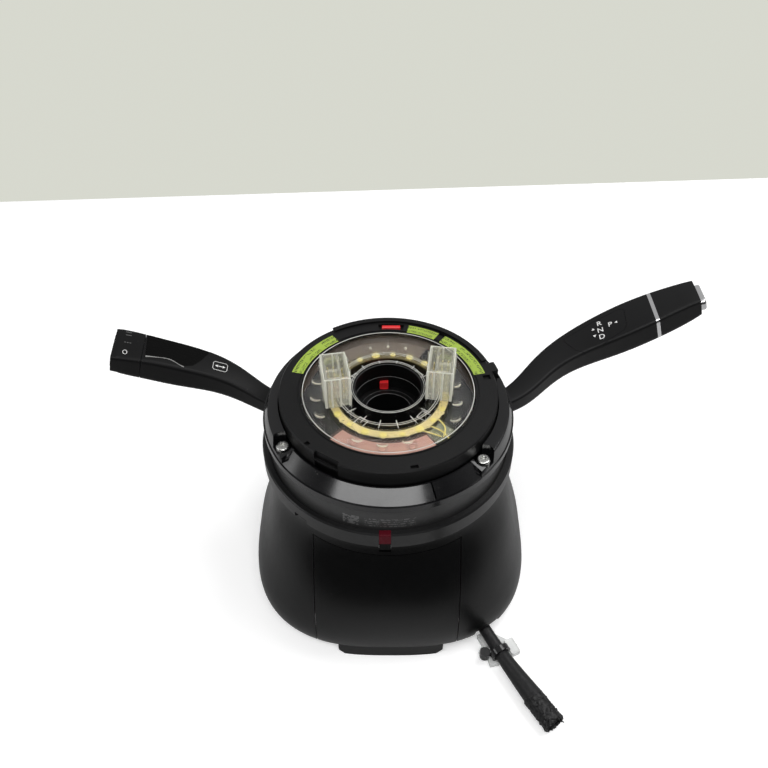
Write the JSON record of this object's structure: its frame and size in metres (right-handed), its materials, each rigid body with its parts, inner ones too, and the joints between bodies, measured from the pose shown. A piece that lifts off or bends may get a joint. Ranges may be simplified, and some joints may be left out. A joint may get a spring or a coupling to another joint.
{
  "type": "combination stalk switch",
  "caption": "Steering column combination switch with a clock spring, a turn and wiper stalk, a gear selector stalk and a flared lower shroud.",
  "frame": {"origin": "centre of the hub bore, level with the clear rotor's face", "axes": "+Z up the steering column towards the driver, +Y up in the car, +X to the driver's right"},
  "size_m": [0.3354, 0.2031, 0.1516],
  "materials": {
    "black_grained": "fine grain",
    "black_smooth": "satin",
    "black_gloss": "gloss",
    "black_soft": "soft touch",
    "clear_plastic": "polished",
    "natural_plastic": "polished",
    "translucent_plastic": "satin",
    "ribbon_yellow": "satin",
    "ribbon_brown": "satin",
    "foil_copper": "satin",
    "foil_bronze": "satin",
    "carrier_plastic": "matt",
    "roller_plastic": "satin",
    "gear_plastic": "satin",
    "red_plastic": "matt",
    "circuit_green": "satin",
    "chip_black": "matt",
    "contact_brass": "bright",
    "zinc_steel": "plated",
    "satin_chrome": "satin",
    "cast_alloy": "cast",
    "tape_black": "matt"
  },
  "bodies": {
    "base": {"shroud_main": "black_grained", "shroud_front_panel": "black_grained", "trim_ring": "black_smooth", "index_tab": "black_grained", "module_housing": "black_smooth", "upper_cover": "black_gloss", "cover_screws": "zinc_steel", "top_plate": "black_smooth", "lock_bar": "red_plastic", "stator_case": "black_smooth", "support_deck": "black_smooth", "detent_tracks": "gear_plastic", "circuit_board": "circuit_green", "board_components": "chip_black", "board_connector": "black_smooth", "connector_pins": "contact_brass", "turn_pivot_pin": "zinc_steel", "selector_pivot_pin": "zinc_steel", "column_clamp": "cast_alloy", "clamp_fastener": "zinc_steel", "clamp_screws": "zinc_steel", "ribbon_outer_coil": "ribbon_brown", "harness_gland": "black_soft", "harness_cable": "tape_black", "harness_end_wrap": "tape_black", "harness_tie": "black_smooth", "harness_clip": "translucent_plastic"},
    "rotor": {"clear_rotor": "clear_plastic", "centring_key": "red_plastic", "drive_ring": "black_smooth", "sensor_drive_gear": "gear_plastic", "ribbon_inner_coil": "ribbon_yellow", "left_connector_tower": "natural_plastic", "right_connector_tower": "natural_plastic", "left_tower_terminals": "contact_brass", "right_tower_terminals": "contact_brass"},
    "carrier": {"ribbon_carrier": "carrier_plastic", "carrier_rollers": "roller_plastic", "front_shield": "foil_copper", "rear_shield": "foil_bronze"},
    "gear_a": {"sensor_gear_a": "gear_plastic"},
    "gear_b": {"sensor_gear_b": "gear_plastic"},
    "selector": {"selector_yoke": "gear_plastic", "selector_detent_plunger": "zinc_steel", "selector_cross_pin": "zinc_steel", "selector_lever": "black_soft", "selector_panel": "black_soft", "selector_trim_band": "satin_chrome", "selector_tip_cap": "black_soft"},
    "park_key": {"park_button": "satin_chrome"},
    "turn_block": {"turn_yoke": "gear_plastic", "turn_detent_plunger": "zinc_steel", "turn_cross_pin": "zinc_steel"},
    "turn_stalk": {"turn_lever": "black_soft", "pocket_liner": "black_gloss"},
    "wiper_knob": {"wiper_ring": "black_smooth"},
    "wash_key": {"wash_button": "black_smooth"}
  },
  "joints": [
    {"name": "rotor_spin", "type": "hinge", "parent": "base", "child": "rotor", "pos_m": [0, 0, 0], "axis": [0, 0, 1], "range_deg": [-900, 900]},
    {"name": "carrier_spin", "type": "hinge", "parent": "base", "child": "carrier", "pos_m": [0, 0, 0], "axis": [0, 0, 1], "range_deg": [-360, 360]},
    {"name": "gear_a_spin", "type": "hinge", "parent": "base", "child": "gear_a", "pos_m": [0.01932, 0.03347, 0], "axis": [0, 0, 1], "range_deg": [-2700, 2700]},
    {"name": "gear_b_spin", "type": "hinge", "parent": "base", "child": "gear_b", "pos_m": [-0.01893, 0.03278, 0], "axis": [0, 0, 1], "range_deg": [-2946, 2946]},
    {"name": "selector_swing", "type": "hinge", "parent": "base", "child": "selector", "pos_m": [0.046, 0.006, 0], "axis": [0, 0, 1], "range_deg": [-12, 12], "stiffness_Nm_per_rad": 1.5},
    {"name": "park_press", "type": "slide", "parent": "selector", "child": "park_key", "axis": [-0.9511, 0, -0.309], "range_m": [0, 0.0025], "stiffness_N_per_m": 300},
    {"name": "turn_swing", "type": "hinge", "parent": "base", "child": "turn_block", "pos_m": [-0.046, 0.006, 0], "axis": [0, 0, 1], "range_deg": [-9, 9]},
    {"name": "turn_pull", "type": "hinge", "parent": "turn_block", "child": "turn_stalk", "pos_m": [-0.05196, 0.00928, -0.028], "axis": [0.4822, 0.876, 0], "range_deg": [-6, 6], "stiffness_Nm_per_rad": 3},
    {"name": "wiper_turn", "type": "hinge", "parent": "turn_stalk", "child": "wiper_knob", "pos_m": [-0.14993, 0.02908, 0.00103], "axis": [-0.9636, -0.0674, 0.2588], "range_deg": [0, 60]},
    {"name": "wash_press", "type": "slide", "parent": "wiper_knob", "child": "wash_key", "axis": [0.9636, 0.0674, -0.2588], "range_m": [0, 0.002], "stiffness_N_per_m": 300}
  ],
  "couplings": [
    {"joint": "carrier_spin", "follows": "rotor_spin", "ratio": 0.4},
    {"joint": "gear_a_spin", "follows": "rotor_spin", "ratio": -3},
    {"joint": "gear_b_spin", "follows": "rotor_spin", "ratio": -3.2727}
  ]
}
